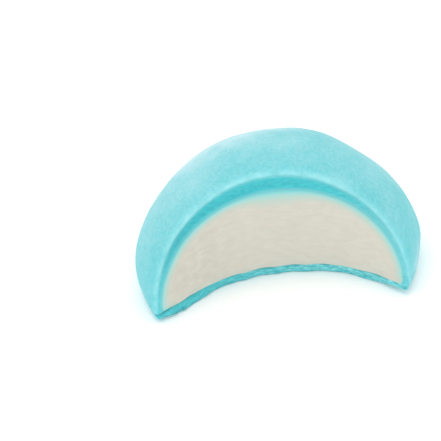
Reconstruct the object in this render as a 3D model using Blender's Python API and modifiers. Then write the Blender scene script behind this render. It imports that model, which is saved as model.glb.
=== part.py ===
"""A mochi rice cake with one wide mouthful gone: a soft dough skin wrapped round a cream filling.

The whole cake is a flat-based dome, and its dough is thickest at the crown. The bite is a round scoop
that leans out over the table, so the lip of the dough overhangs. Just under that lip the dough has drawn
back into a shallow cove, and along the table its edge is torn a little unevenly. The cream fills the cake
and shows at the bite.

Units are metres and +Z is up. The bite faces -Y, and the origin is under the middle of what is left.
"""

import math
from collections import namedtuple

import bmesh
import bpy
from mathutils import Vector, noise

MM = 0.001

# The whole cake, before the bite
CAKE_RADIUS = 24.0 * MM
CAKE_DOME_HEIGHT = 21.5 * MM
CAKE_WIDEST_LEVEL = 3.6 * MM
CAKE_BASE_RADIUS = 22.6 * MM

# The dough's thickness at the crown, round the widest ring and underneath
DOUGH_CROWN = 4.3 * MM
DOUGH_SIDE = 1.7 * MM
DOUGH_BASE = 1.9 * MM
CREAM_GAP = 0.3 * MM

# The outline is not a true circle: (lobes, share of the radius, angle of a lobe in degrees)
OUTLINE_LOBES = ((2, 0.020, 24.5), (3, 0.009, -34.0))

# The bite is part of a round scoop: its radius, where its axis meets the table, its lean for each unit up
BITE_RADIUS = 28.3 * MM
BITE_AXIS_X = -0.6 * MM
BITE_AXIS_Y = -27.7 * MM
BITE_LEAN = 0.226
BITE_FRONT = -60.0 * MM

# Relief of the bitten dough: the cove under the lip, and the tear along the table
COVE_DEPTH = 0.9 * MM
COVE_FADES = (1.5 * MM, 9.0 * MM)
TORN_DEPTH = 0.5 * MM
TORN_SPACING = 3.2 * MM
TORN_FADES = (1.2 * MM, 3.0 * MM)

# How finely the shapes are turned
CAKE_STEPS = 84
HOLLOW_STEPS = 64
CAKE_RINGS = (18, 4)
HOLLOW_RINGS = (13, 3)
TURN_MERGE = 0.00001
SMOOTH_UNDER = math.radians(35)

# The scoop's rings, as shares of the way from its middle to the lip, close together across the dough
BITE_SPOKES = 108
BITE_RINGS = (0.2, 0.4, 0.58, 0.7, 0.78, 0.83, 0.87, 0.91, 0.95, 0.985, 1.03, 1.15)
BITE_MIDDLE_LEVEL = 9.0 * MM
BITE_MOST_REACH = 36.0 * MM
LIP_HALVINGS = 30

# Floors under two divisors, at the middle of a bun and where its walls nearly meet
LEAST_FULLNESS = 0.01
THINNEST_DOUGH = 0.1 * MM

Bun = namedtuple("Bun", "radius dome widest base_radius base")


def bun_inside(clearance):
    """The bun within the dough, smaller all round than the dough's inner wall by this clearance."""
    return Bun(
        radius=CAKE_RADIUS - DOUGH_SIDE - clearance,
        dome=CAKE_DOME_HEIGHT - DOUGH_CROWN - clearance,
        widest=CAKE_WIDEST_LEVEL,
        base_radius=CAKE_BASE_RADIUS - DOUGH_SIDE - clearance,
        base=DOUGH_BASE + clearance,
    )


CAKE = Bun(CAKE_RADIUS, CAKE_DOME_HEIGHT, CAKE_WIDEST_LEVEL, CAKE_BASE_RADIUS, 0.0)
HOLLOW = bun_inside(0.0)
CREAM = bun_inside(CREAM_GAP)


def smooth_step(low, high, value):
    t = min(max((value - low) / (high - low), 0.0), 1.0)
    return t * t * (3 - 2 * t)


def outline(point):
    """How far the outline stands out or in on this side of the cake, as a share of a true circle."""
    angle = math.atan2(point.y, point.x)
    stretch = 1.0
    for lobes, share, first in OUTLINE_LOBES:
        stretch += share * math.cos(lobes * (angle - math.radians(first)))
    return stretch


def bun_profile(bun, rings):
    """(radius, height) from the crown down to the rim of the flat base."""
    dome_rings, flank_rings = rings
    points = []
    for ring in range(dome_rings + 1):
        turn = math.pi / 2 * ring / dome_rings
        points.append((bun.radius * math.sin(turn), bun.widest + bun.dome * math.cos(turn)))
    for ring in range(1, flank_rings + 1):
        turn = math.pi / 2 * ring / flank_rings
        radius = bun.base_radius + (bun.radius - bun.base_radius) * math.cos(turn)
        points.append((radius, bun.widest - (bun.widest - bun.base) * math.sin(turn)))
    return points


def depth_in(bun, point):
    """How deep a point lies inside the bun, from the nearest of base and side, or negative outside it."""
    reach = math.hypot(point.x, point.y) / outline(point)
    level = point.z - bun.widest
    if level >= 0:
        fullness = max(math.hypot(reach / bun.radius, level / bun.dome), LEAST_FULLNESS)
        return math.hypot(reach, level) * (1 / fullness - 1)
    share_down = min(level / (bun.base - bun.widest), 1.0)
    wall = bun.base_radius + (bun.radius - bun.base_radius) * math.sqrt(1 - share_down**2)
    return min(wall - reach, point.z - bun.base)


def dough_share(point):
    """How far through the dough a point lies: 0 at its outside, 1 at the cream, more within the cream."""
    from_outside = depth_in(CAKE, point)
    to_cream = -depth_in(HOLLOW, point)
    return from_outside / max(from_outside + to_cream, THINNEST_DOUGH)


def plain_scoop(along, height):
    """The point of the plain scoop at this length along its curve, left to right, and this height."""
    turn = along / BITE_RADIUS
    middle = Vector((BITE_AXIS_X, BITE_AXIS_Y - BITE_LEAN * height, height))
    return middle + Vector((math.sin(turn), math.cos(turn), 0.0)) * BITE_RADIUS


def cove(point):
    """How far the dough has drawn back here, most of all half-way through it and high above the table."""
    across = min(max(dough_share(point), 0.0), 1.0)
    return COVE_DEPTH * math.sin(math.pi * across) ** 2 * smooth_step(*COVE_FADES, point.z)


def torn(point):
    """How far the tear along the table wanders here."""
    near_table = 1 - smooth_step(*TORN_FADES, point.z)
    return TORN_DEPTH * near_table * noise.noise(Vector((point.x, point.y, 0.0)) / TORN_SPACING)


def bitten(along, height):
    plain = plain_scoop(along, height)
    inward = Vector((math.sin(along / BITE_RADIUS), math.cos(along / BITE_RADIUS), 0.0))
    return plain + inward * (cove(plain) + torn(plain))


def lip_reach(spoke_angle):
    """How far from its middle the scoop leaves the cake along this spoke, found by halving."""
    near, far = 0.0, BITE_MOST_REACH
    for _ in range(LIP_HALVINGS):
        reach = (near + far) / 2
        height = BITE_MIDDLE_LEVEL + reach * math.sin(spoke_angle)
        if depth_in(CAKE, plain_scoop(reach * math.cos(spoke_angle), height)) > 0 and height > 0:
            near = reach
        else:
            far = reach
    return near


def collection(name):
    made = bpy.data.collections.new(name)
    bpy.context.scene.collection.children.link(made)
    return made


def turned(name, profile, steps, home):
    """A mesh object from a profile of (radius, height) points turned about the upright axis."""
    guide_mesh = bpy.data.meshes.new(name)
    links = [(i, i + 1) for i in range(len(profile) - 1)]
    guide_mesh.from_pydata([(radius, 0.0, z) for radius, z in profile], links, [])
    guide = bpy.data.objects.new(name + "_profile", guide_mesh)
    home.objects.link(guide)
    screw = guide.modifiers.new("Turn", "SCREW")
    screw.steps = steps
    screw.render_steps = steps
    screw.use_merge_vertices = True
    screw.merge_threshold = TURN_MERGE
    graph = bpy.context.evaluated_depsgraph_get()
    solid = bpy.data.objects.new(name, bpy.data.meshes.new_from_object(guide.evaluated_get(graph)))
    bpy.data.objects.remove(guide)
    home.objects.link(solid)
    return solid


def finish_mesh(obj, shape):
    """Closes any open rim, points the faces outwards and shades them smooth."""
    bmesh.ops.holes_fill(shape, edges=[edge for edge in shape.edges if edge.is_boundary], sides=0)
    bmesh.ops.recalc_face_normals(shape, faces=shape.faces)
    shape.to_mesh(obj.data)
    shape.free()
    obj.data.shade_smooth()
    obj.data.set_sharp_from_angle(angle=SMOOTH_UNDER)


def make_bun(name, bun, steps, rings, home):
    obj = turned(name, bun_profile(bun, rings), steps, home)
    shape = bmesh.new()
    shape.from_mesh(obj.data)
    for vertex in shape.verts:
        stretch = outline(vertex.co)
        vertex.co.x *= stretch
        vertex.co.y *= stretch
    finish_mesh(obj, shape)
    return obj


def make_bite(home):
    """The scoop as a cutter: a turned disc laid over the bitten face, then drawn out to the front."""
    disc = [(share, 0.0) for share in reversed(BITE_RINGS)] + [(0.0, 0.0)]
    obj = turned("bite", disc, BITE_SPOKES, home)
    shape = bmesh.new()
    shape.from_mesh(obj.data)
    for vertex in shape.verts:
        spoke_angle = math.atan2(vertex.co.y, vertex.co.x)
        reach = lip_reach(spoke_angle) * vertex.co.length
        height = BITE_MIDDLE_LEVEL + reach * math.sin(spoke_angle)
        vertex.co = bitten(reach * math.cos(spoke_angle), height)
    rim = [edge for edge in shape.edges if edge.is_boundary]
    drawn = bmesh.ops.extrude_edge_only(shape, edges=rim)["geom"]
    for vertex in (item for item in drawn if isinstance(item, bmesh.types.BMVert)):
        vertex.co.y = BITE_FRONT
    finish_mesh(obj, shape)
    return obj


def cut(obj, cutter):
    modifier = obj.modifiers.new("Cut " + cutter.name, "BOOLEAN")
    modifier.operation = "DIFFERENCE"
    modifier.solver = "EXACT"
    modifier.object = cutter
    cutter.hide_render = True
    cutter.display_type = "WIRE"


def give_material(obj, name, colour, roughness):
    material = bpy.data.materials.new(name)
    material.use_nodes = True
    surface = material.node_tree.nodes["Principled BSDF"]
    surface.inputs["Base Color"].default_value = (*colour, 1.0)
    surface.inputs["Roughness"].default_value = roughness
    surface.inputs["Metallic"].default_value = 0.0
    obj.data.materials.clear()
    obj.data.materials.append(material)


def stand_over_origin(pieces, skin):
    """Parents the pieces to the cake's axis and moves it, so that the origin is under the skin's middle."""
    axis = bpy.data.objects.new("cake_axis", None)
    bpy.context.scene.collection.objects.link(axis)
    for piece in pieces:
        piece.parent = axis
    bpy.context.view_layer.update()
    graph = bpy.context.evaluated_depsgraph_get()
    corners = [Vector(corner) for corner in skin.evaluated_get(graph).bound_box]
    for side in (0, 1):
        axis.location[side] = -(min(c[side] for c in corners) + max(c[side] for c in corners)) / 2


def main():
    for obj in list(bpy.data.objects):
        bpy.data.objects.remove(obj)
    parts = collection("mochi_half")
    cutters = collection("cutters")

    skin = make_bun("rice_dough_skin", CAKE, CAKE_STEPS, CAKE_RINGS, parts)
    cream = make_bun("cream_filling", CREAM, HOLLOW_STEPS, HOLLOW_RINGS, parts)
    hollow = make_bun("hollow", HOLLOW, HOLLOW_STEPS, HOLLOW_RINGS, cutters)
    bite = make_bite(cutters)
    cut(skin, hollow)
    cut(skin, bite)
    cut(cream, bite)
    give_material(skin, "turquoise_dough", (0.12, 0.60, 0.68), 0.65)
    give_material(cream, "pale_cream", (0.68, 0.65, 0.56), 0.55)
    stand_over_origin((skin, cream, hollow, bite), skin)


main()
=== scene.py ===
# %% [markdown]
# # A bitten rice cake
#
# This lesson dresses a small sweet: a round, flat-based cake of soft rice dough, turquoise and lightly
# dusted with flour, wrapped round a pale cream. One wide mouthful is gone from the front, so the dough
# shows as a rim round the cream: thick at the crown, thin at the sides, and torn along the table.
#
# The plain solids of the cake are already made and come in as a fixed frame. Everything here is about
# what a plain solid can't show: a soft lip, a cove of stretched dough under it, torn fibres, flour, and
# the small swellings of a thing that was shaped by hand.

# %% Bring in the solids
import math
from collections import namedtuple

import bmesh
import bpy
import numpy as np
from mathutils import Matrix, Vector


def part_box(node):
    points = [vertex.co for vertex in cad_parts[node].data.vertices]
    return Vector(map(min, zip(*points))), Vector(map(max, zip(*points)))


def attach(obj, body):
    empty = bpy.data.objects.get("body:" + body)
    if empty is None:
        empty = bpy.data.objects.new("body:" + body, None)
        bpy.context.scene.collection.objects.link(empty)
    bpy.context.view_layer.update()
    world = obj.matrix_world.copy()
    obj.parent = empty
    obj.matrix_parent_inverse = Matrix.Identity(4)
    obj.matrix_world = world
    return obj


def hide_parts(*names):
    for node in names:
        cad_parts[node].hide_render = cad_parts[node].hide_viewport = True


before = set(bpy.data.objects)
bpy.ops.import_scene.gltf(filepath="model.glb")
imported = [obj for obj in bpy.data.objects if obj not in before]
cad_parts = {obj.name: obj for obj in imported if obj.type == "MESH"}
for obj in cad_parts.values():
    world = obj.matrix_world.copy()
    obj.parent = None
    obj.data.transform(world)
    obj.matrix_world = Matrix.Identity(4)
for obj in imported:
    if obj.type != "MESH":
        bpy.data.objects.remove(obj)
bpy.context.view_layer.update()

# %% [markdown]
# The cake has few measures. It is a dome standing on a short flank, its outline is a little out of round,
# and the cream's body is the same shape again, smaller by the dough's thickness. A named tuple keeps each
# such body together, so one function can measure both. The upright axis of the whole cake isn't in the
# middle of what is left, so its place is worked out from the back of the solid, which the bite didn't reach.

# %% The cake's measures
MM = 0.001
Bun = namedtuple("Bun", "radius dome widest base_radius base")

CAKE = Bun(radius=24.0 * MM, dome=21.5 * MM, widest=3.6 * MM, base_radius=22.6 * MM, base=0.0)
DOUGH_CROWN, DOUGH_SIDE, DOUGH_FOOT, DOUGH_BASE = 4.6 * MM, 1.8 * MM, 1.35 * MM, 1.9 * MM
OUTLINE_LOBES = ((2, 0.020, 24.5), (3, 0.009, -34.0))
STEPS_ROUND = 720


def outline(angle):
    """How far the outline stands out or in at this angle, as a share of a true circle."""
    stretch = 1.0
    for lobes, share, first in OUTLINE_LOBES:
        stretch = stretch + share * np.cos(lobes * (angle - math.radians(first)))
    return stretch


def bun_within(cake, clearance):
    """The bun inside the dough, smaller than the dough's inner wall by this clearance."""
    return Bun(
        radius=cake.radius - DOUGH_SIDE - clearance,
        dome=cake.dome - DOUGH_CROWN - clearance,
        widest=cake.widest,
        base_radius=cake.base_radius - DOUGH_FOOT - clearance,
        base=DOUGH_BASE + clearance,
    )


HOLLOW = bun_within(CAKE, 0.0)
CREAM_SHIFT = np.array([0.25 * MM, 0.0, 0.0])
around = np.linspace(0, math.tau, STEPS_ROUND + 1)
reach_right = (CAKE.radius * outline(around) * np.cos(around)).max()
reach_back = (CAKE.radius * outline(around) * np.sin(around)).max()
_, skin_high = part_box("rice_dough_skin")
AXIS = np.array([skin_high.x - reach_right, skin_high.y - reach_back, 0.0])
print("the whole cake's axis stands at", (AXIS / MM).round(2), "mm")

# %% [markdown]
# A voxel remesh can give any solid an even skin of small quads, but it blurs the form a little and leaves
# steps. The cure is to know the form as a distance: a function that is zero on the surface, negative
# inside and positive outside. Each vertex then slides along the steepest way to zero, and the mesh ends up
# exactly on the smooth form. For a dome the distance is that of a ball, squashed.

# %% Distance to a bun
TINY = 1e-3


def bun_distance(bun, points):
    """Distance of each point from a bun's surface: negative inside. Points are seen from the cake's axis."""
    x, y, z = points.T
    reach = np.hypot(x, y) / outline(np.arctan2(y, x))
    level = z - bun.widest
    size = np.maximum(np.hypot(reach / bun.radius, level / bun.dome), TINY)
    above = np.hypot(reach, level) * (1 - 1 / size)
    edge_x = np.maximum(reach - bun.base_radius, 0.0)
    corner = np.hypot(edge_x / (bun.radius - bun.base_radius), level / (bun.widest - bun.base))
    below = np.hypot(edge_x, level) * (1 - 1 / np.maximum(corner, TINY))
    return np.where(level >= 0, above, below)


over_crown = np.array([[0.0, 0.0, CAKE.widest + CAKE.dome + MM]])
print("a point 1 mm above the crown measures", (bun_distance(CAKE, over_crown) / MM).round(2), "mm")

# %% [markdown]
# A real cake is fuller here and flatter there. A swell is a soft round bump on the distance, with a place,
# a size and a height, all in millimetres. A few of them, with heights above and below zero, bring an even
# dome to the outline of this one. The hollow has two: beside the left horn the dough is very thin.

# %% Swells, and the hollow for the cream
Swell = namedtuple("Swell", "x y z size height")
HOLLOW_SWELLS = (Swell(-21.5, -7, 3.0, 4.5, 0.95), Swell(20, -8, 1.9, 2.8, -0.25))


def fullness(points, swells):
    """Where a hand-shaped form is fuller or flatter than an even one, in metres."""
    total = np.zeros(len(points))
    for swell in swells:
        away = ((points / MM - swell[:3]) ** 2).sum(1) / swell.size**2
        total += swell.height * MM * np.exp(-away)
    return total


def vault_distance(points, clearance=0.0):
    """Distance from the side and top of the hollow in the dough, a little right of the cake's middle."""
    return bun_distance(bun_within(CAKE, clearance), points - CREAM_SHIFT) - fullness(points, HOLLOW_SWELLS)


def cream_distance(points, clearance=0.0):
    """Distance from the cream's body, which fills the hollow down to a level floor."""
    return np.maximum(vault_distance(points, clearance), bun_within(CAKE, clearance).base - points[:, 2])


print(f"the dough is {DOUGH_CROWN / MM:.1f} mm thick at the crown and {DOUGH_SIDE / MM:.1f} mm at the sides")

# %% [markdown]
# Where two surfaces meet, a soft maximum of their distances rounds the edge, which is how a lip of dough
# looks, and no bevel has to find its way round a ragged edge. A smooth step turns a height or a distance
# into a share between 0 and 1, so a relief can fade in and out without a line.

# %% Soft edges and soft fades
def soft_max(a, b, blend):
    """The larger of two distances, with the edge between them rounded over this width."""
    near = np.maximum(blend - np.abs(a - b), 0.0) / blend
    return np.maximum(a, b) + near * near * blend / 4


def smooth_step(low, high, value):
    """0 below low, 1 above high, and a smooth rise between."""
    t = np.clip((value - low) / (high - low), 0.0, 1.0)
    return t * t * (3 - 2 * t)


print("an edge blended over 2 mm loses", soft_max(0.0, 0.0, 2 * MM) / MM, "mm at its sharpest")

# %% [markdown]
# Dough and cream are never perfectly even. Lumps are made here by adding a few dozen plane waves that
# cross in random directions. It is smooth, costs nothing, has one size of lump that is easy to choose,
# and a seeded generator makes the same lumps every time. A stretch for each axis turns lumps into streaks.

# %% Lumps from crossing waves
WAVES = 28
WAVE_SPREAD = (0.7, 1.4)
LEVEL_STREAKS = (5.0, 5.0, 1.0)


def lumps(points, size, seed, stretch=(1.0, 1.0, 1.0)):
    """Smooth random bumps about this size, mostly between -1 and 1."""
    rng = np.random.default_rng(seed)
    directions = rng.normal(size=(WAVES, 3))
    directions /= np.linalg.norm(directions, axis=1, keepdims=True)
    directions *= rng.uniform(*WAVE_SPREAD, (WAVES, 1)) * math.pi / size
    phases = rng.uniform(0, math.tau, WAVES)
    total = np.zeros(len(points))
    for direction, phase in zip(directions / np.array(stretch), phases):
        total += np.cos(points @ direction + phase)
    return total / math.sqrt(WAVES)


SAMPLES = np.eye(4, 3, -1) * 10 * MM
print("lumps on the axis and 10 mm along X, Y and Z:", lumps(SAMPLES, size=5 * MM, seed=1).round(2))

# %% [markdown]
# The bite is a round scoop whose axis leans out over the table, so the lip overhangs. Just under the lip
# the stretched dough has drawn back into a cove, which is shallow on the left and goes on behind the
# cream's border on the right. A groove cut with a tool would need a path, while a depth added to the
# scoop's distance needs only to know where it is between the outside of the dough and the cream.

# %% The scoop and the cove under its lip
BITE_RADIUS = 28.3 * MM
BITE_AXIS_X, BITE_AXIS_Y = -0.6 * MM, -27.7 * MM
BITE_LEAN = 0.226
COVE_DEPTH, COVE_HEIGHTS = 1.15 * MM, (2.5 * MM, 15.0 * MM)
COVE_DEEPENS, COVE_EASES = (0.05, 0.70), (0.70, 1.08)
COVE_AT_BORDER, COVE_MORE_RIGHTWARD, COVE_RIGHTWARD = 0.12, 0.78, (-2 * MM, 16 * MM)
COVE_FADE = 1.6 * MM
THICK_DOUGH, COVE_LEAST, THINNEST = 3.2 * MM, 0.6, 0.1 * MM


def scoop_distance(points):
    """Distance into the plain scoop: positive where the cake is gone."""
    x, y, z = points.T
    return BITE_RADIUS - np.hypot(x - BITE_AXIS_X, y - BITE_AXIS_Y + BITE_LEAN * z)


def cove(points):
    """The dough draws back steeply from the lip and is still a little behind it where the cream begins."""
    outside, cream = -bun_distance(CAKE, points), vault_distance(points)
    thickness = outside + cream
    share = np.clip(outside / np.maximum(thickness, THINNEST), 0.0, None)
    depth = COVE_DEPTH * np.clip(thickness / THICK_DOUGH, COVE_LEAST, 1.0)
    at_border = COVE_AT_BORDER + COVE_MORE_RIGHTWARD * smooth_step(*COVE_RIGHTWARD, points[:, 0])
    inward = smooth_step(*COVE_DEEPENS, share) * (1 - (1 - at_border) * smooth_step(*COVE_EASES, share))
    into_cream = np.maximum(-cream, 0.0)
    return depth * inward * np.exp(-into_cream / COVE_FADE) * smooth_step(*COVE_HEIGHTS, points[:, 2])


print(f"at the table the scoop reaches {(BITE_AXIS_Y + BITE_RADIUS) / MM:.1f} mm past the cake's middle")

# %% [markdown]
# Three more kinds of relief lie on the scoop. Along the table the base dough is torn, so its edge wanders
# and has fibres. Where the cream begins above it, the two have parted in a ragged hairline. And in places,
# mostly near the horns, less came away, so the foot of the wall stands further out. Each is a depth that
# is added to the scoop's distance or taken from it, and fades where it should not reach.

# %% What the bite left at the foot of the wall
Leftover = namedtuple("Leftover", "x width amount low high")
LEFTOVERS = (
    Leftover(x=-16.5 * MM, width=5.5 * MM, amount=1.2 * MM, low=2.0 * MM, high=9.0 * MM),
    Leftover(x=-20.0 * MM, width=5.0 * MM, amount=0.35 * MM, low=8.0 * MM, high=16.0 * MM),
    Leftover(x=20.3 * MM, width=2.5 * MM, amount=1.4 * MM, low=0.8 * MM, high=3.0 * MM),
    Leftover(x=-6.5 * MM, width=4.5 * MM, amount=0.35 * MM, low=2.0 * MM, high=8.0 * MM),
    Leftover(x=9.5 * MM, width=3.5 * MM, amount=-0.38 * MM, low=2.0 * MM, high=7.0 * MM),
    Leftover(x=-17.0 * MM, width=4.5 * MM, amount=0.9 * MM, low=0.5 * MM, high=1.9 * MM),
)
TORN_DEPTH, TORN_HEIGHTS = 0.11 * MM, (1.2 * MM, 3.0 * MM)
SMALL_WANDER = 0.5
FIBRE_DEPTH = 0.06 * MM
SEAM_DEPTH, SEAM_WIDTH = 0.20 * MM, 0.14 * MM
SEAM_OPEN, SEAM_RAGGED, SEAM_MOST = 0.45, 0.55, 1.3


def leftover(points):
    """How much further out the foot of the wall stands where less came away, mostly near the horns."""
    total = np.zeros(len(points))
    for left in LEFTOVERS:
        along = np.exp(-(((points[:, 0] - left.x) / left.width) ** 2))
        total += left.amount * along * (1 - smooth_step(left.low, left.high, points[:, 2]))
    return total


def torn(points):
    """The wandering edge and level fibres of the dough along the table."""
    near_table = 1 - smooth_step(*TORN_HEIGHTS, points[:, 2])
    wander = lumps(points, size=2.6 * MM, seed=3, stretch=(1.0, 1.0, 3.0))
    wander = wander + SMALL_WANDER * lumps(points, size=1.1 * MM, seed=4, stretch=(1.0, 1.0, 2.0))
    fibres = lumps(points, size=0.45 * MM, seed=5, stretch=LEVEL_STREAKS)
    return near_table * (TORN_DEPTH * wander + FIBRE_DEPTH * fibres)


def seam(points):
    """A ragged hairline groove where the cream has parted from the base dough, from 0 to about 1."""
    ragged = np.clip(SEAM_OPEN + SEAM_RAGGED * lumps(points, size=2.4 * MM, seed=6), 0.0, SEAM_MOST)
    return ragged * np.exp(-(((points[:, 2] - HOLLOW.base) / SEAM_WIDTH) ** 2))


def bite_distance(points):
    """Distance into the bitten-out space with all its relief: positive where the cake is gone."""
    relief = cove(points) + torn(points) + SEAM_DEPTH * seam(points) - leftover(points)
    return scoop_distance(points) + relief


print("places where more or less came away:", len(LEFTOVERS))

# %% [markdown]
# Both pieces are cut from one form, the bitten cake, so their faces meet without a step. Its lip is
# rounded widely and its torn edge hardly. The dough is the part outside the hollow, the cream the part
# inside. If each stopped exactly at the border, every small error of the mesh would show as a crack, so
# the dough goes on for nearly a millimetre under the cream and the cream for half a millimetre under the
# dough. At the border the faces cross at a slight angle: the cream lies a hair lower outside it and a hair
# higher inside. The cream's face also carries the level marks that teeth and spoon leave.

# %% The bitten cake as a distance
LIP_ROUND, TABLE_ROUND, HORN_ROUND = 2.2 * MM, 0.45 * MM, 2.2 * MM
HORNS_FROM, LIP_FROM = (15.5 * MM, 20.0 * MM), (1.0 * MM, 5.0 * MM)
LEFT_SIDE, CRISPER_LEFTWARD = (12.0 * MM, 19.0 * MM), 0.3
DIMPLE, DIMPLES_FROM = 0.018 * MM, (0.0, 4.0 * MM)
SWELLS = (
    Swell(23, 4, 10, 8, 0.48),
    Swell(24, 2, 5.8, 3.5, 0.32),
    Swell(24, -2, 1.5, 3, -0.32),
    Swell(-24, 0, 8, 8, 0.38),
    Swell(-9, 12, 19, 7, 0.28),
    Swell(8, 13, 20, 6.5, 0.33),
    Swell(21.8, -8.5, 1.2, 4, -1.05),
    Swell(14.5, 10.5, 17, 4.5, -0.20),
    Swell(-23.3, -5, 0.5, 4.5, -0.75),
)


def bitten_cake(points):
    """Dough and cream as one solid, with its lip rounded widely and its torn edge hardly."""
    x, _, z = points.T
    skin = DIMPLE * lumps(points, size=2.2 * MM, seed=12) * smooth_step(*DIMPLES_FROM, z)
    outer = bun_distance(CAKE, points) - fullness(points, SWELLS) + skin
    low_round = TABLE_ROUND + (HORN_ROUND - TABLE_ROUND) * smooth_step(*HORNS_FROM, np.abs(x))
    crisper = 1 - CRISPER_LEFTWARD * smooth_step(*LEFT_SIDE, -x)
    rounding = (low_round + (LIP_ROUND - low_round) * smooth_step(*LIP_FROM, z)) * crisper
    return soft_max(outer, bite_distance(points), rounding)


print("swellings and flat places of the dome:", len(SWELLS))

# %% Dough and cream as distances
DOUGH_OVERLAP, CREAM_OVERLAP = 0.9 * MM, 0.5 * MM
CROSSING, CROSSING_WIDTH = 0.05 * MM, 0.2 * MM
MARK_DEPTH, PIT_DEPTH, MARKS_FROM = 0.018 * MM, 0.015 * MM, (-0.1 * MM, 0.3 * MM)
HIDDEN_EDGE = 0.15 * MM


def dough_form(points):
    """The bitten cake without its hollow."""
    return soft_max(bitten_cake(points), -cream_distance(points, DOUGH_OVERLAP), HIDDEN_EDGE)


def cream_form(points):
    """The filling of the hollow, with level marks and faint pits on its bitten face."""
    marks = MARK_DEPTH * lumps(points, size=0.55 * MM, seed=21, stretch=(6.0, 6.0, 1.0))
    pits = PIT_DEPTH * lumps(points, size=1.4 * MM, seed=22)
    into_dough = cream_distance(points)
    crossing = CROSSING * np.tanh(into_dough / CROSSING_WIDTH)
    face = bitten_cake(points) + crossing + (marks + pits) * smooth_step(*MARKS_FROM, -into_dough)
    return soft_max(cream_distance(points, -CREAM_OVERLAP), face, HIDDEN_EDGE)


print(f"dough and cream overlap by {(DOUGH_OVERLAP + CREAM_OVERLAP) / MM:.1f} mm in all")

# %% [markdown]
# Each piece starts as a merged copy of its plain solid, so it is in the right place from the start. The
# remesh gives it even quads. The faces round the bite are then subdivided, and the nearest ones once
# more, because the lip, the torn edge and the border of the cream are what the eye goes to, while the
# back of the dome is plain.

# %% Copy, remesh, refine
VOXEL = 0.5 * MM
SAME_PLACE = 0.001 * MM


def merged_copy(node, name):
    """A new object with the node's triangles joined up."""
    shape = bmesh.new()
    shape.from_mesh(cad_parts[node].data)
    bmesh.ops.remove_doubles(shape, verts=shape.verts, dist=SAME_PLACE)
    mesh = bpy.data.meshes.new(name)
    shape.to_mesh(mesh)
    shape.free()
    piece = bpy.data.objects.new(name, mesh)
    bpy.context.scene.collection.objects.link(piece)
    return piece


def even_quads(piece):
    """Replaces the mesh by its voxel remesh."""
    remesh = piece.modifiers.new("Even quads", "REMESH")
    remesh.mode = "VOXEL"
    remesh.voxel_size = VOXEL
    graph = bpy.context.evaluated_depsgraph_get()
    mesh = bpy.data.meshes.new_from_object(piece.evaluated_get(graph))
    piece.modifiers.clear()
    piece.data = mesh
    print(f"{piece.name}: {len(mesh.polygons)} even quads")


def places(mesh):
    """The vertices as an array of points seen from the cake's axis."""
    flat = np.empty(len(mesh.vertices) * 3)
    mesh.vertices.foreach_get("co", flat)
    return flat.reshape(-1, 3) - AXIS


def place_vertices(mesh, points):
    """Puts the vertices where these points are, seen from the cake's axis."""
    mesh.vertices.foreach_set("co", (points + AXIS).ravel())


def refine(piece, is_fine):
    """Subdivides once the faces whose middle is where is_fine says."""
    shape = bmesh.new()
    shape.from_mesh(piece.data)
    middles = np.array([face.calc_center_median() for face in shape.faces]) - AXIS
    chosen = is_fine(middles)
    edges = {edge for face, fine in zip(shape.faces, chosen) if fine for edge in face.edges}
    bmesh.ops.subdivide_edges(shape, edges=list(edges), cuts=1, use_grid_fill=True)
    shape.to_mesh(piece.data)
    shape.free()
    print(f"{piece.name}: {chosen.sum()} faces made finer")


# %% [markdown]
# Sliding the vertices is Newton's method. The slope of the distance is measured by looking a hair ahead
# along X, Y and Z, and the vertex moves by distance over slope. Three rounds are plenty. The step is
# limited, so that a vertex near a sharp corner can't be thrown off.

# %% Slide the vertices onto the form
LOOK = 0.005 * MM
LONGEST_STEP = 0.3 * MM
LEAST_STEEPNESS = 0.25


def step_onto(form, points):
    """The slope of the form at each point, and how far along it the form's surface is."""
    value = form(points)
    slope = np.stack([(form(points + ahead) - value) / LOOK for ahead in np.eye(3) * LOOK], axis=1)
    steepness = np.maximum((slope**2).sum(1), LEAST_STEEPNESS)
    return slope, value / steepness


def slide_onto(piece, form, rounds):
    """Moves the vertices to where the form's distance is zero, and none of them under the table."""
    points = places(piece.data)
    for _ in range(rounds):
        slope, step = step_onto(form, points)
        points -= slope * np.clip(step, -LONGEST_STEP, LONGEST_STEP)[:, None]
    points[:, 2] = np.maximum(points[:, 2], 0.0)
    place_vertices(piece.data, points)
    piece.data.update()
    off = np.quantile(np.abs(form(points)), 0.99)
    print(f"{piece.name}: {len(points)} vertices, 99 in 100 within {off / MM:.3f} mm")


# %% [markdown]
# Two places have further to go than a slide can take them, so they are carried there first: the hidden
# wall between dough and cream before the remesh, and the foot of the bite after it.

# %% Carry what has far to go
WALL_BAND, WALL_ROUNDS = 0.9 * MM, 2
FOOT_THICKNESS = 3 * MM


def carry_hidden_wall(piece, clearance):
    """Takes the wall between dough and cream to this clearance inside the border, in long steps."""
    points = places(piece.data)
    on_wall = np.abs(cream_distance(points)) < WALL_BAND
    for _ in range(WALL_ROUNDS):
        slope, step = step_onto(lambda spots: cream_distance(spots, clearance), points[on_wall])
        points[on_wall] -= slope * step[:, None]
    place_vertices(piece.data, points)
    print(f"{piece.name}: {on_wall.sum()} vertices of the hidden wall carried")


def push_out_foot(piece):
    """Carries the foot of the wall out by what is left over, so the slide has less far to go."""
    points = places(piece.data)
    behind = np.maximum(-bite_distance(points), 0.0)
    points[:, 1] -= leftover(points) * np.exp(-((behind / FOOT_THICKNESS) ** 2))
    place_vertices(piece.data, points)


# %% [markdown]
# The dough is the skin of the cake: soft, a little sticky, and torn where it was bitten. The cream is a
# stiff filling that keeps the marks of the bite. They could be sculpted by hand, but a sculpted edge can't
# be repeated or adjusted by a tenth of a millimetre. Both go the same way here, from the solid through
# the remesh to the form, and are then made finer twice: the dough round its rim, the cream on its face.

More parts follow.
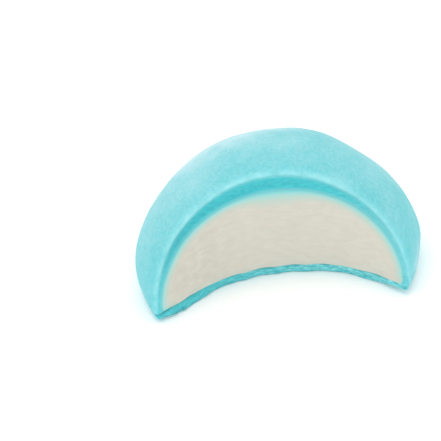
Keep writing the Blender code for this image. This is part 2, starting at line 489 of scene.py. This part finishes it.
# %% Shape the dough and the cream
RIM_WIDTH, INNER_RIM_WIDTH = 3.0 * MM, 1.6 * MM
FACE_THICKNESS = 0.6 * MM
ROUNDS_WHEN_FINER = (2, 3)


def near_rim(width):
    """A test for the dough that lies within this width of the bite."""
    return lambda points: (scoop_distance(points) > -width) & (cream_distance(points) > -DOUGH_OVERLAP)


def on_the_face(points):
    """Whether each point lies on the bitten face."""
    return bite_distance(points) > -FACE_THICKNESS


def shape_piece(node, name, form, clearance, fine_places):
    """A piece on its exact form, made from a plain solid and refined in these places, one after another."""
    piece = merged_copy(node, name)
    carry_hidden_wall(piece, clearance)
    even_quads(piece)
    push_out_foot(piece)
    slide_onto(piece, form, rounds=3)
    even_quads(piece)
    slide_onto(piece, form, rounds=2)
    for is_fine, rounds in zip(fine_places, ROUNDS_WHEN_FINER):
        refine(piece, is_fine)
        slide_onto(piece, form, rounds)
    print(f"{name}: {len(piece.data.polygons)} faces")
    return piece


dough_rims = (near_rim(RIM_WIDTH), near_rim(INNER_RIM_WIDTH))
dough = shape_piece("rice_dough_skin", "soft_dough", dough_form, DOUGH_OVERLAP, dough_rims)
cream = shape_piece("cream_filling", "whipped_cream", cream_form, -CREAM_OVERLAP, (on_the_face, on_the_face))

# %% [markdown]
# Colour follows the bite, so the materials need to know where on the piece they are. Each vertex gets a
# few numbers for that, and the shader only turns them into colour. The first ones are about flour. It
# covers the outside and ends along the lip in a pale crest, which is partly flour and partly a painted
# highlight. On the dome it lies in soft heaps, which are swells again, made uneven with lumps, and the
# heaps along the top and upper left of the dome also paint its rim light. A little has rubbed off on the
# wall at the sides, and on the right the same share also paints the light that side of the wall catches.

# %% Where the flour and the painted highlights are
# Heaps of flour; those along the top and upper left of the dome also paint its rim light, and those below
# zero leave bare places.
FLOUR_AND_RIM_LIGHT_PLACES = (
    Swell(-7, 11, 20.5, 8.5, 0.31),
    Swell(-17, 4, 15, 6, 0.10),
    Swell(-11, 8, 18, 6, 0.18),
    Swell(5, 16.5, 17, 7, 0.20),
    Swell(14, 9, 16, 5, 0.14),
    Swell(12, -2, 18, 5, 0.08),
    Swell(22, 6, 13, 3.5, 0.10),
    Swell(22.5, -4, 2.5, 3, 0.28),
    Swell(22, -5, 5, 3.5, 0.18),
    Swell(18.5, -5, 15.5, 4, -0.12),
    Swell(21.6, -3, 10, 4, -0.07),
    Swell(0, 14, 20.5, 4.5, 0.48),
    Swell(4, 4, 24.5, 3, 0.12),
    Swell(-6, -3.5, 23.9, 3, -0.08),
    Swell(-12, 0, 21, 6, 0.10),
    Swell(-18, -2, 17, 5, 0.02),
    Swell(-23, -1, 9, 5, 0.06),
    Swell(-21.8, -8, 0, 3.2, 0.16),
)
HEAPS_UNEVEN, SMALL_HEAPS = 0.18, 0.8
RIGHT_SIDE = (9.0 * MM, 21.0 * MM)
WALL_FLOUR_LEFT, WALL_FLOUR_AND_LIGHT_RIGHT = 0.25, 0.70
WALL_FLOUR_LOW, WALL_FLOUR_HEIGHTS = 0.7, (2.0 * MM, 6.0 * MM)
LIP_WIDTH, LIP_WIDER_LEFT, LIP_WIDER_HIGH = 0.9 * MM, 0.4 * MM, 1.5 * MM
LIP_WIDENS, LIP_FADE = (4.0 * MM, 15.0 * MM), 0.75
CREST_PLACE, CREST_OUTWARD, CREST_INWARD = 0.32 * MM, 1.15 * MM, 0.6 * MM
CREST_HEIGHTS = (1.0 * MM, 3.0 * MM)


def flour_and_rim_light(points):
    """The share of flour in the heaps on the dome; the heaps also paint rim light along its top and upper
    left.
    """
    uneven = lumps(points, size=4.5 * MM, seed=31) + SMALL_HEAPS * lumps(points, size=2.0 * MM, seed=32)
    return np.clip(fullness(points, FLOUR_AND_RIM_LIGHT_PLACES) / MM * (1 + HEAPS_UNEVEN * uneven), 0.0, 1.0)


def flour_cover(points, past_lip):
    """1 on the outside, and on the bitten wall what has rubbed off at the sides, with painted light added on
    the right.
    """
    x, _, z = points.T
    leftward = smooth_step(*LEFT_SIDE, -x)
    # Flour rubbed onto the wall at the sides; the larger share on the right also paints the light that side
    # catches.
    on_wall = WALL_FLOUR_LEFT * leftward + WALL_FLOUR_AND_LIGHT_RIGHT * smooth_step(*RIGHT_SIDE, x)
    on_wall *= WALL_FLOUR_LOW + (1 - WALL_FLOUR_LOW) * smooth_step(*WALL_FLOUR_HEIGHTS, z)
    lip_width = LIP_WIDTH + LIP_WIDER_LEFT * leftward + LIP_WIDER_HIGH * smooth_step(*LIP_WIDENS, z)
    return np.maximum(smooth_step(0.0, 1.0, (past_lip + lip_width) / (LIP_FADE * lip_width)), on_wall)


def lip_crest(points, past_lip):
    """1 along the crest of the lip, where flour and a painted highlight go, fading more widely over the dome
    than down the wall.
    """
    off_crest = past_lip + CREST_PLACE
    width = np.where(off_crest > 0, CREST_OUTWARD, CREST_INWARD)
    return np.exp(-((off_crest / width) ** 2)) * smooth_step(*CREST_HEIGHTS, points[:, 2])


print("heaps of flour and bare places:", len(FLOUR_AND_RIM_LIGHT_PLACES))

# %% [markdown]
# The other numbers are about the border between dough and cream: how far a point lies inside or outside
# it, and how deep in the cream, for the colour that has bled in. Both pieces are measured in the same way,
# so the shader colours them as if they were one. Only well behind the bitten face do the numbers just say
# what the piece is made of.

# %% Where the border is
BORDER_REACH, DEEP = 3.0, 10.0
HIDDEN_FROM = (0.9 * MM, 1.3 * MM)
TINT_NARROWING, TINT_NARROWS = 1.35, (1.0 * MM, 9.5 * MM)


def depth_in_cream(points, into_cream):
    """How deep in the cream a point lies, in mm, counted faster at the sides, where the tint is narrower."""
    x, y, z = (points - CREAM_SHIFT).T
    from_side = HOLLOW.radius - np.hypot(x, y) / outline(np.arctan2(y, x))
    depth = np.where(z > HOLLOW.widest, -vault_distance(points), np.maximum(from_side, into_cream))
    narrowing = TINT_NARROWING + TINT_NARROWING * smooth_step(*TINT_NARROWS, np.abs(points[:, 0]))
    return np.clip(depth / MM * narrowing, 0.0, DEEP)


print(f"the border is known to {BORDER_REACH} mm on each side of it")

# %% Write the numbers on the vertices
WALL_SKIN = (0.2 * MM, 0.8 * MM)
TORN_BAND_FADE = 0.6 * MM
HORN_TIPS = (21.5 * MM, 24.0 * MM)
RIGHTWARD = (-16 * MM, 10 * MM)
SEAM_SHADE_LOWER = np.array([0.0, 0.0, 0.1 * MM])


def write_number(piece, name, values):
    """Writes one number for each vertex, under a name that a material can ask for."""
    attribute = piece.data.attributes.new(name, "FLOAT", "POINT")
    attribute.data.foreach_set("value", values.astype(np.float32))


def write_numbers(piece, hidden_border):
    """Writes where each vertex lies. Away from the bite the border number says what the piece is made of."""
    points = places(piece.data)
    x, _, z = points.T
    bite_depth = -bite_distance(points)
    past_lip = bite_depth + bun_distance(CAKE, points)
    write_number(piece, "flour", flour_cover(points, past_lip))
    write_number(piece, "lip", lip_crest(points, past_lip))
    write_number(piece, "flour_and_rim_light", flour_and_rim_light(points))

    on_wall = (1 - smooth_step(*WALL_SKIN, bite_depth)) * (1 - smooth_step(*HORN_TIPS, np.abs(x)))
    low = 1 - smooth_step(HOLLOW.base, HOLLOW.base + TORN_BAND_FADE, z)
    write_number(piece, "torn_band", low * on_wall)
    # Painted shade in the seam's groove, a tenth of a millimetre below its middle.
    write_number(piece, "seam", np.clip(seam(points + SEAM_SHADE_LOWER), 0.0, 1.0) * on_wall)
    write_number(piece, "rightward", smooth_step(*RIGHTWARD, x))
    write_number(piece, "height", z / MM)

    into_cream = -cream_distance(points)
    hidden = smooth_step(*HIDDEN_FROM, -bitten_cake(points))
    border = np.clip(into_cream / MM, -BORDER_REACH, BORDER_REACH)
    write_number(piece, "border", border * (1 - hidden) + hidden_border * hidden)
    write_number(piece, "rim_depth", depth_in_cream(points, into_cream) * (1 - hidden) + DEEP * hidden)
    print(f"{piece.name}: {len(piece.data.attributes)} attributes on {len(points)} vertices")


write_numbers(dough, -BORDER_REACH)
write_numbers(cream, BORDER_REACH)

# %% [markdown]
# Each piece now takes the place of its plain solid, and rides on the cake's one body.

# %% Give each piece its place in the model
PLACES_IN_MODEL = (
    (dough, "rice_dough_skin", "turquoise_dough"),
    (cream, "cream_filling", "pale_cream"),
)
for piece, node, slot in PLACES_IN_MODEL:
    piece.data.shade_smooth()
    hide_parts(node)
    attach(piece, "root")
    print(f"{piece.name} takes the place of {node}")

# %% [markdown]
# A few small helpers keep the shaders short. One adds a node, sets its values and links its inputs in one
# call. The others name what a shader does here again and again: read a number, spread it from one range
# to another, make a grain of a certain size, blend two colours.

# %% Helpers for shader nodes
def new_material(name):
    """A material with nodes, and its main shader."""
    material = bpy.data.materials.new(name)
    material.use_nodes = True
    return material, material.node_tree.nodes["Principled BSDF"]


def fill_input(tree, socket, value):
    """Links an output to this input, or sets the input to a value."""
    if isinstance(value, bpy.types.NodeSocket):
        tree.links.new(value, socket)
    else:
        socket.default_value = value


def add(tree, kind, inputs=(), **settings):
    """A new shader node. Inputs are (name, value or output socket) pairs."""
    node = tree.nodes.new(kind)
    for key, value in settings.items():
        setattr(node, key, value)
    for key, value in inputs:
        fill_input(tree, node.inputs[key], value)
    return node


def number(tree, name):
    """The output that reads one of the numbers written on the vertices."""
    return add(tree, "ShaderNodeAttribute", attribute_name=name).outputs["Fac"]


def spread(tree, value, low, high, to_low=0.0, to_high=1.0):
    """Maps a number from one range to another, and keeps it inside."""
    pairs = [("Value", value), ("From Min", low), ("From Max", high), ("To Min", to_low), ("To Max", to_high)]
    return add(tree, "ShaderNodeMapRange", pairs).outputs["Result"]


def spread_number(tree, name, ranges):
    """One of the written numbers, spread. The ranges are low, high, and if need be to_low, to_high."""
    return spread(tree, number(tree, name), *ranges)


def maths(tree, operation, first, second):
    """The result of one sum or product."""
    return add(tree, "ShaderNodeMath", [(0, first), (1, second)], operation=operation).outputs[0]


# %% Helpers for grain and colour
Grain = namedtuple("Grain", "size detail squeeze low high least most", defaults=(0.0, 1.0))


def noise(tree, size, detail, squeeze=1.0):
    """Noise about this size in metres on the piece's own coordinates, squeezed in height into streaks."""
    coordinates = add(tree, "ShaderNodeTexCoord").outputs["Object"]
    placed = add(tree, "ShaderNodeMapping", [("Vector", coordinates), ("Scale", (1.0, 1.0, squeeze))])
    pairs = [("Vector", placed.outputs["Vector"]), ("Scale", 1 / size), ("Detail", detail)]
    return add(tree, "ShaderNodeTexNoise", pairs).outputs["Fac"]


def grain(tree, kind):
    """Noise whose values from low to high are spread from the least to the most share."""
    return spread(tree, noise(tree, kind.size, kind.detail, kind.squeeze), *kind[3:])


def ramp(tree, value, stops):
    """A colour ramp from (position, colour) stops."""
    node = add(tree, "ShaderNodeValToRGB", [("Fac", value)])
    elements = node.color_ramp.elements
    while len(elements) < len(stops):
        elements.new(0.5)
    for element, (position, colour) in zip(elements, stops):
        element.position = position
        element.color = (*colour, 1.0)
    return node.outputs["Color"]


# A Mix node has sockets of the same name for numbers, vectors and colours, so these are told by their place.
MIX_SHARE, MIX_FIRST, MIX_SECOND, MIX_RESULT = 0, 6, 7, 2


def blend_colours(tree, share, first, second):
    """The first colour, with this share of the second. Colours are outputs or triples."""
    node = add(tree, "ShaderNodeMix", [(MIX_SHARE, share)], data_type="RGBA")
    for key, colour in ((MIX_FIRST, first), (MIX_SECOND, second)):
        fill_input(tree, node.inputs[key], (*colour, 1.0) if isinstance(colour, tuple) else colour)
    return node.outputs[MIX_RESULT]


# %% [markdown]
# The dough is one material with two faces. Bitten, it is a deep clear turquoise, a little moist, paler
# where it thins out towards the cream. Outside it is the same dough under a fine layer of rice flour,
# which lifts and greys the colour and lies in soft patches with a fine grain. Its heaps also paint rim
# light high on the dome, and a pale crest of flour and painted highlight runs along the lip. Along the
# table the torn dough shows its strands, light ones on dark, with painted shade in the hairline where it
# left the cream and along its lower edge at the table.

# %% The dough's colours
BITTEN_DOUGH = (0.058, 0.62, 0.67)
BITTEN_SHADE = (0.035, 0.52, 0.585)
THIN_DOUGH = (0.17, 0.62, 0.65)
TORN_SHADE = (0.040, 0.47, 0.52)
TORN_DEEP = (0.075, 0.61, 0.66)
TORN_LIGHT = (0.27, 0.81, 0.83)
# Painted shade for the seam's hairline groove and where the dough meets the table.
PAINTED_SEAM_AND_CONTACT_SHADE = (0.045, 0.36, 0.40)
DUSTED_DOUGH = (0.140, 0.615, 0.655)
DUSTED_SHADE = (0.108, 0.530, 0.572)
LOW_DOUGH = (0.030, 0.540, 0.600)
RICE_FLOUR = (0.72, 0.89, 0.95)
# The lip's pale crest: flour and a painted highlight.
LIP_FLOUR_AND_HIGHLIGHT = (0.40, 0.83, 0.87)

FIBRES = Grain(size=1.1 * MM, detail=3.0, squeeze=2.2, low=0.35, high=0.65)
PATCHES = Grain(size=5.0 * MM, detail=3.0, squeeze=1.0, low=0.35, high=0.70, least=0.0, most=0.09)
SPECKS = Grain(size=0.7 * MM, detail=4.0, squeeze=1.0, low=0.35, high=0.75, least=0.0, most=0.13)
PORES = Grain(size=0.42 * MM, detail=4.0, squeeze=1.0, low=0.3, high=0.7)
LIP_HIGHLIGHT_BREAKS = Grain(size=2.0 * MM, detail=4.0, squeeze=1.0, low=0.3, high=0.7, least=0.22, most=0.68)
STRANDS = Grain(size=1.2 * MM, detail=4.0, squeeze=3.2, low=0.36, high=0.66)

BARE_LOW_DOWN = (3.0, 15.0, 0.85, 0.0)
ON_THE_OUTSIDE = (0.7, 1.0)
THIN_NEAR_BORDER, THIN_HEIGHTS = (-0.45, 0.0), (2.0, 4.0)
PAINTED_CONTACT_SHADE_HEIGHTS = (0.05, 0.5, 0.6, 0.0)
SEAM_PAINTED_SHADE_STRENGTH = 0.8


def floured_colour(tree):
    """The outside: nearly bare low down, flour in patches, specks and heaps that also paint rim light, and a
    pale broken lip of flour and painted highlight.
    """
    dusted = blend_colours(tree, grain(tree, PORES), DUSTED_SHADE, DUSTED_DOUGH)
    outside = spread_number(tree, "flour", ON_THE_OUTSIDE)
    bare = maths(tree, "MULTIPLY", spread_number(tree, "height", BARE_LOW_DOWN), outside)
    dusted = blend_colours(tree, bare, dusted, LOW_DOUGH)
    dust = maths(tree, "ADD", grain(tree, PATCHES), grain(tree, SPECKS))
    # Flour in patches and specks, and the heaps, which also paint rim light.
    dusted = blend_colours(tree, maths(tree, "ADD", dust, number(tree, "flour_and_rim_light")), dusted, RICE_FLOUR)
    # Painted highlight along the lip, mixed with flour and broken by noise.
    crest = maths(tree, "MULTIPLY", number(tree, "lip"), grain(tree, LIP_HIGHLIGHT_BREAKS))
    return blend_colours(tree, crest, dusted, LIP_FLOUR_AND_HIGHLIGHT)


def torn_colour(tree):
    """The band along the table: strands that are paler to the right, and painted contact shade along its
    lower edge.
    """
    light_strand = blend_colours(tree, number(tree, "rightward"), TORN_DEEP, TORN_LIGHT)
    strands = blend_colours(tree, grain(tree, STRANDS), TORN_SHADE, light_strand)
    # Painted contact shade over the lowest half millimetre, where the dough meets the table.
    return blend_colours(tree, spread_number(tree, "height", PAINTED_CONTACT_SHADE_HEIGHTS), strands, PAINTED_SEAM_AND_CONTACT_SHADE)


def dough_colour(tree):
    """All of the dough, bitten and floured."""
    bitten = blend_colours(tree, grain(tree, FIBRES), BITTEN_SHADE, BITTEN_DOUGH)
    colour = blend_colours(tree, number(tree, "flour"), bitten, floured_colour(tree))
    near_border = spread_number(tree, "border", THIN_NEAR_BORDER)
    thin = maths(tree, "MULTIPLY", near_border, spread_number(tree, "height", THIN_HEIGHTS))
    colour = blend_colours(tree, thin, colour, THIN_DOUGH)
    colour = blend_colours(tree, number(tree, "torn_band"), colour, torn_colour(tree))
    # Painted shade along the hairline where the cream parted from the base dough.
    seam_painted_shade = maths(tree, "MULTIPLY", number(tree, "seam"), SEAM_PAINTED_SHADE_STRENGTH)
    return blend_colours(tree, seam_painted_shade, colour, PAINTED_SEAM_AND_CONTACT_SHADE)


# %% [markdown]
# The cream is matte and nearly even. Near the rim the dough's colour has bled into it, first mint and
# then a greener white, over a couple of millimetres, and the table side has hardly any. Fine level
# streaks and a faint warm and cool mottling keep it from looking like plastic, and the left side is
# darker with painted shade, broken into blotches.

# %% The cream's colours
CREAM_COLOUR = (0.650, 0.622, 0.540)
CREAM_LIGHT = (0.688, 0.665, 0.588)
# Darker cream for the level scrapes, and for the painted shade on the left.
CREAM_SCRAPES_AND_PAINTED_SHADE = (0.590, 0.560, 0.475)
CREAM_WARM = (0.705, 0.635, 0.575)
CREAM_AT_BASE = (0.60, 0.70, 0.635)
TINT_REACH, PLAIN_FROM = 6.0, (0.4, 1.0)
TINTS = (
    (0.0, THIN_DOUGH),
    (0.10, (0.26, 0.66, 0.655)),
    (0.20, (0.35, 0.68, 0.65)),
    (0.30, (0.43, 0.68, 0.63)),
    (0.40, (0.485, 0.665, 0.60)),
    (0.52, (0.525, 0.65, 0.575)),
    (1.0, (0.60, 0.63, 0.55)),
)

MOTTLING = Grain(size=1.8 * MM, detail=4.0, squeeze=1.6, low=0.3, high=0.7)
SCRAPES = Grain(size=2.2 * MM, detail=4.0, squeeze=9.0, low=0.50, high=0.72, least=0.0, most=0.5)
WARM_SPOTS = Grain(size=2.6 * MM, detail=3.0, squeeze=1.0, low=0.5, high=0.7, least=0.0, most=0.4)
SHADE_BLOTCHES = Grain(size=1.5 * MM, detail=3.0, squeeze=1.5, low=0.35, high=0.65)
SHADE_LEFTWARD = (0.0, 0.4, 0.65, 0.1)
TINTED_AT_BASE = (1.9, 4.5, 0.14, 0.0)


def plain_cream(tree):
    """Cream away from the dough, mottled and scraped, and darker on the left with painted shade in blotches.
    """
    plain = blend_colours(tree, grain(tree, MOTTLING), CREAM_COLOUR, CREAM_LIGHT)
    plain = blend_colours(tree, grain(tree, SCRAPES), plain, CREAM_SCRAPES_AND_PAINTED_SHADE)
    plain = blend_colours(tree, grain(tree, WARM_SPOTS), plain, CREAM_WARM)
    # Painted shade: the cream is darker towards the left, in blotches.
    shaded_leftward = spread_number(tree, "rightward", SHADE_LEFTWARD)
    left_shade = maths(tree, "MULTIPLY", shaded_leftward, grain(tree, SHADE_BLOTCHES))
    plain = blend_colours(tree, left_shade, plain, CREAM_SCRAPES_AND_PAINTED_SHADE)
    return blend_colours(tree, spread_number(tree, "height", TINTED_AT_BASE), plain, CREAM_AT_BASE)


def cream_colour(tree):
    """Plain cream with the dough's tint along its rim."""
    depth = spread_number(tree, "rim_depth", (0.0, TINT_REACH))
    return blend_colours(tree, spread(tree, depth, *PLAIN_FROM), ramp(tree, depth, TINTS), plain_cream(tree))


# %% [markdown]
# At the border cream is smeared a hair over the dough and dough pulled over the cream. Both pieces ask the
# same function for their colour, which changes from one to the other exactly at the border, so it doesn't
# matter which of the two surfaces lies in front there. The finishes differ: the dough has flour's sheen
# and grain, and lets in a little light. The cream is softer, and its relief is the level scrapes.

# %% The two finishes
BORDER_BLUR = (-0.03, 0.03)
MOIST_TO_FLOURY = (0.0, 1.0, 0.42, 0.72)


def cake_colour(tree):
    """The dough's colour up to the border, and the cream's colour past it."""
    is_cream = spread_number(tree, "border", BORDER_BLUR)
    return blend_colours(tree, is_cream, dough_colour(tree), cream_colour(tree))


def relief(tree, height, strength, depth):
    """A fine relief of this strength and depth, for the shader's normal."""
    pairs = [("Height", height), ("Strength", strength), ("Distance", depth)]
    return add(tree, "ShaderNodeBump", pairs).outputs["Normal"]


def dough_finish(tree):
    """Moist where it is bitten and dull under flour, with fine grains on coarse ones."""
    fine, coarse = noise(tree, size=0.28 * MM, detail=3.0), noise(tree, size=1.1 * MM, detail=2.0)
    return {
        "Roughness": spread_number(tree, "flour", MOIST_TO_FLOURY),
        "Subsurface Weight": 0.25,
        "Subsurface Radius": (0.35, 0.9, 1.0),
        "Subsurface Scale": 1.2 * MM,
        "Sheen Weight": 0.12,
        "Sheen Roughness": 0.5,
        "Normal": relief(tree, maths(tree, "ADD", fine, coarse), strength=0.6, depth=0.05 * MM),
    }


def cream_finish(tree):
    """Evenly matte, with streaks that run level."""
    streaks = noise(tree, size=1.5 * MM, detail=3.0, squeeze=6.0)
    return {
        "Roughness": 0.55,
        "Subsurface Weight": 0.3,
        "Subsurface Radius": (1.0, 0.9, 0.7),
        "Subsurface Scale": 1.0 * MM,
        "Normal": relief(tree, streaks, strength=0.35, depth=0.08 * MM),
    }


def coat(piece, name, finish):
    """Gives the piece a new material with the cake's colour and this finish."""
    material, surface = new_material(name)
    tree = material.node_tree
    fill_input(tree, surface.inputs["Base Color"], cake_colour(tree))
    for socket, value in finish(tree).items():
        fill_input(tree, surface.inputs[socket], value)
    piece.data.materials.append(material)
    print(f"{name}: {len(tree.nodes)} nodes")


coat(dough, "dusted turquoise dough", dough_finish)
coat(cream, "scraped pale cream", cream_finish)

# %% [markdown]
# The table is a plain pale disc, wide enough to have no edge in any view. It glows a little, as a lit
# tabletop in a studio does, so the cake's shadow stays faint. The light is bright and even: white from all
# round, and one large soft lamp above and a little to the left, which gives the dome its gradient. Colours
# are shown as they are, with the Standard view, because a film-like view would grey the turquoise.

# %% Table
WHITE = (1.0, 1.0, 1.0, 1.0)
TABLE_RADIUS, TABLE_SIDES = 1.5, 96
TABLE_COLOUR, TABLE_ROUGHNESS = (0.95, 0.95, 0.95, 1.0), 0.9
TABLE_GLOW = 0.12


def make_table():
    """A disc on the floor that belongs to the studio, not to the cake."""
    shape = bmesh.new()
    bmesh.ops.create_circle(shape, cap_ends=True, segments=TABLE_SIDES, radius=TABLE_RADIUS)
    mesh = bpy.data.meshes.new("table")
    shape.to_mesh(mesh)
    shape.free()
    table = bpy.data.objects.new("table", mesh)
    bpy.context.scene.collection.objects.link(table)
    material, surface = new_material("pale table")
    surface.inputs["Base Color"].default_value = TABLE_COLOUR
    surface.inputs["Emission Color"].default_value = WHITE
    surface.inputs["Emission Strength"].default_value = TABLE_GLOW
    surface.inputs["Roughness"].default_value = TABLE_ROUGHNESS
    table.data.materials.append(material)
    print(f"table {2 * TABLE_RADIUS} m across")


make_table()

# %% Light
LAMP_PLACE, LAMP_AIM = Vector((-0.08, -0.13, 0.64)), Vector((0, 0, 0.01))
LAMP_SIZE, LAMP_POWER = 0.4, 0.95
STUDIO_LIGHT = 0.95


def make_lamp(name):
    """A round soft lamp that hangs at its place and points at its aim."""
    data = bpy.data.lights.new(name, "AREA")
    data.shape = "DISK"
    data.size = LAMP_SIZE
    data.energy = LAMP_POWER
    lamp = bpy.data.objects.new(name, data)
    bpy.context.scene.collection.objects.link(lamp)
    lamp.location = LAMP_PLACE
    lamp.rotation_euler = (LAMP_AIM - LAMP_PLACE).to_track_quat("-Z", "Y").to_euler()
    print(f"{name}: {LAMP_POWER} W, {LAMP_PLACE.length:.2f} m from the cake")


make_lamp("soft key")
world = bpy.data.worlds.new("studio")
world.use_nodes = True
world.node_tree.nodes["Background"].inputs["Color"].default_value = WHITE
world.node_tree.nodes["Background"].inputs["Strength"].default_value = STUDIO_LIGHT
bpy.context.scene.world = world
bpy.context.scene.view_settings.view_transform = "Standard"

# %% [markdown]
# The camera looks down at the bite from a little over a third of a right angle, from half a metre away,
# with a long lens. The picture is turned a few degrees, which is why one horn sits lower. The camera
# stands where the cake's own axis is its target, and is then aimed to the side, so that the cake lands
# right of and below the middle of the picture.

# %% Camera
PICTURE = 441
ELEVATION, AZIMUTH, ROLL = math.radians(36.0), math.radians(-3.235), math.radians(4.275)
CAMERA_DISTANCE = 20 * CAKE.radius
SENSOR = 36.0
PIXELS_PER_RADIUS = 139.05
AXIS_PIXEL = (279.8, 275.4)


def make_camera():
    """A camera that sees the cake where the picture has it."""
    back = Vector((
        math.sin(AZIMUTH) * math.cos(ELEVATION),
        -math.cos(AZIMUTH) * math.cos(ELEVATION),
        math.sin(ELEVATION),
    ))
    target = Vector(AXIS)
    place = target + back * CAMERA_DISTANCE
    turn = (-back).to_track_quat("-Z", "Y").to_matrix() @ Matrix.Rotation(-ROLL, 3, "Z")
    right, up = turn.col[0], turn.col[1]
    metres = CAKE.radius / PIXELS_PER_RADIUS
    across, upward = PICTURE / 2 - AXIS_PIXEL[0], AXIS_PIXEL[1] - PICTURE / 2
    aim = target + right * across * metres + up * upward * metres
    data = bpy.data.cameras.new("camera")
    data.sensor_width = SENSOR
    data.lens = SENSOR * PIXELS_PER_RADIUS * CAMERA_DISTANCE / CAKE.radius / PICTURE
    camera = bpy.data.objects.new("camera", data)
    bpy.context.scene.collection.objects.link(camera)
    camera.location = place
    swing = (-back).rotation_difference(aim - place).to_matrix()
    camera.rotation_euler = (swing @ turn).to_euler()
    bpy.context.scene.camera = camera
    print(f"camera {CAMERA_DISTANCE:.2f} m away, lens {data.lens:.0f} mm")


make_camera()
